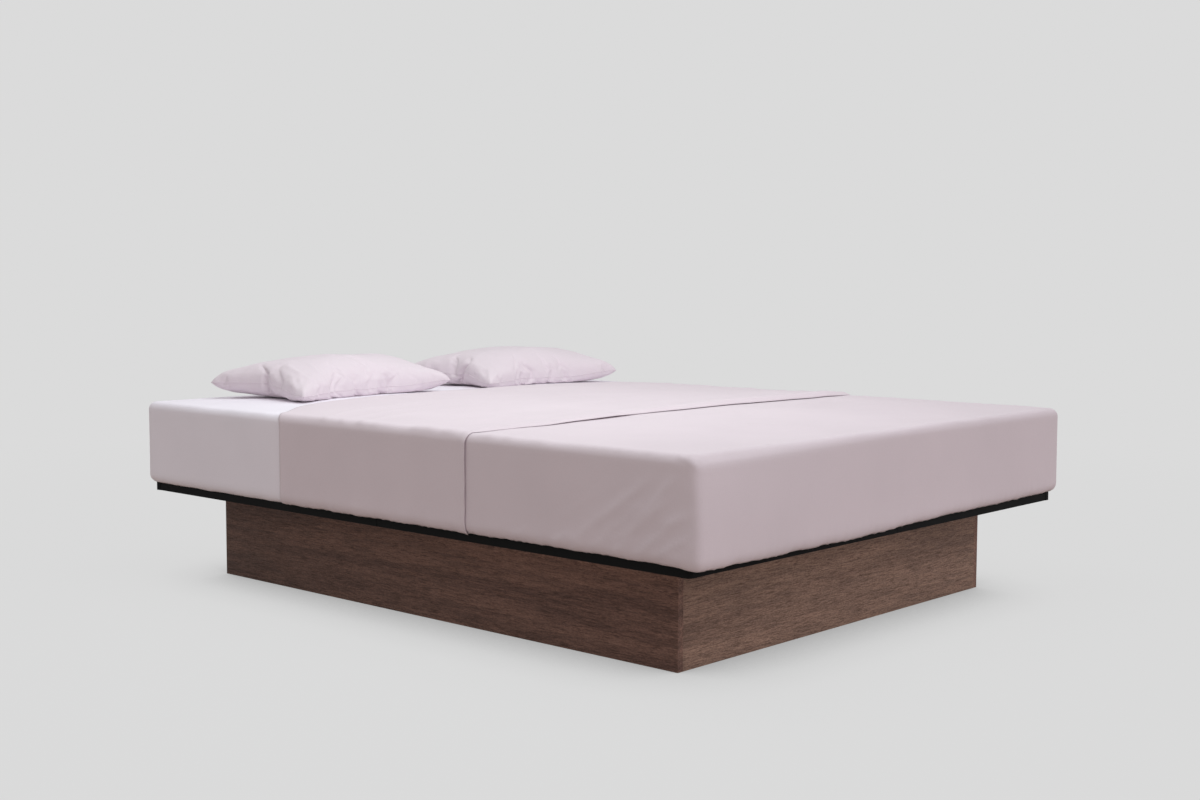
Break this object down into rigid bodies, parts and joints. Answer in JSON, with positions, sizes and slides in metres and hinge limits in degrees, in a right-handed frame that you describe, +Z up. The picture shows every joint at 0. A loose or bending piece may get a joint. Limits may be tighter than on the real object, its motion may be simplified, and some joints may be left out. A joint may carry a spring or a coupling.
{
  "type": "waterbed",
  "caption": "Softside waterbed: zipped mattress with water cores in foam rails, dressed in sheets and pillows, on a deck over a recessed panel pedestal.",
  "frame": {"origin": "on the floor under the middle of the bed", "axes": "+Y towards the head of the bed, +X across it, to the right seen from the foot, +Z up"},
  "size_m": [1.636, 2.0327, 0.6162],
  "materials": {
    "smoked_oak": "satin",
    "support_board": "matte",
    "corner_block_wood": "matte",
    "deck_board": "matte",
    "edging": "matte",
    "screw_steel": "satin",
    "cover_knit": "matte",
    "cover_base_cloth": "matte",
    "zip_plastic": "matte",
    "zip_metal": "satin",
    "foam": "matte",
    "liner_vinyl": "satin",
    "heater_vinyl": "satin",
    "water_vinyl": "satin",
    "fibre": "matte",
    "valve_plastic": "satin",
    "plug_plastic": "satin",
    "cap_plastic": "satin",
    "sheet_cotton": "matte",
    "fitted_cotton": "matte",
    "pillow_cotton": "matte",
    "pillow_fill": "matte"
  },
  "bodies": {
    "bed": {"base_cover": "cover_base_cloth", "base_pad": "foam", "corner_block_foot_left": "corner_block_wood", "corner_block_foot_right": "corner_block_wood", "corner_block_head_left": "corner_block_wood", "corner_block_head_right": "corner_block_wood", "corner_block_screws": "screw_steel", "corner_cap_foot_left": "edging", "corner_cap_foot_right": "edging", "corner_cap_head_left": "edging", "corner_cap_head_right": "edging", "deck_board_foot_left": "deck_board", "deck_board_foot_right": "deck_board", "deck_board_head_left": "deck_board", "deck_board_head_right": "deck_board", "deck_screws": "screw_steel", "edging_end_foot_left": "edging", "edging_end_foot_right": "edging", "edging_end_head_left": "edging", "edging_end_head_right": "edging", "edging_long_foot_left": "edging", "edging_long_foot_right": "edging", "edging_long_head_left": "edging", "edging_long_head_right": "edging", "fibre_insert_left": "fibre", "fibre_insert_right": "fibre", "fitted_sheet": "fitted_cotton", "foam_divider": "foam", "foam_rail_foot": "foam", "foam_rail_head": "foam", "foam_rail_left": "foam", "foam_rail_right": "foam", "heater_pad_left": "heater_vinyl", "heater_pad_right": "heater_vinyl", "pedestal_cross_support_foot": "support_board", "pedestal_cross_support_head": "support_board", "pedestal_cross_support_middle": "support_board", "pedestal_foot_panel": "smoked_oak", "pedestal_head_panel": "smoked_oak", "pedestal_long_support": "support_board", "pedestal_side_panel_left": "smoked_oak", "pedestal_side_panel_right": "smoked_oak", "safety_liner": "liner_vinyl", "top_cover": "cover_knit", "top_sheet": "sheet_cotton", "valve_bodies": "valve_plastic", "valve_plugs": "plug_plastic", "water_core_left": "water_vinyl", "water_core_right": "water_vinyl", "zip_lower": "zip_plastic", "zip_upper": "zip_plastic"},
    "pillow_left": {"pillow_case_left": "pillow_cotton", "pillow_filling_left": "pillow_fill"},
    "pillow_right": {"pillow_case_right": "pillow_cotton", "pillow_filling_right": "pillow_fill"},
    "valve_cap_left": {"valve_cap_left": "cap_plastic"},
    "valve_cap_right": {"valve_cap_right": "cap_plastic"},
    "zip_slider": {"zip_slider": "zip_metal"}
  },
  "joints": [
    {"name": "pillow_left_lift", "type": "slide", "parent": "bed", "child": "pillow_left", "axis": [0, 0, 1], "range_m": [0, 0.3]},
    {"name": "pillow_right_lift", "type": "slide", "parent": "bed", "child": "pillow_right", "axis": [0, 0, 1], "range_m": [0, 0.3]},
    {"name": "valve_cap_left_turn", "type": "hinge", "parent": "bed", "child": "valve_cap_left", "pos_m": [-0.37536, -0.77043, 0.4528], "axis": [0, 0, 1], "range_deg": [0, 360]},
    {"name": "valve_cap_right_turn", "type": "hinge", "parent": "bed", "child": "valve_cap_right", "pos_m": [0.37536, -0.77043, 0.4528], "axis": [0, 0, 1], "range_deg": [0, 360]},
    {"name": "zip_slider_run", "type": "slide", "parent": "bed", "child": "zip_slider", "axis": [1, 0, 0], "range_m": [0, 1.4]}
  ]
}
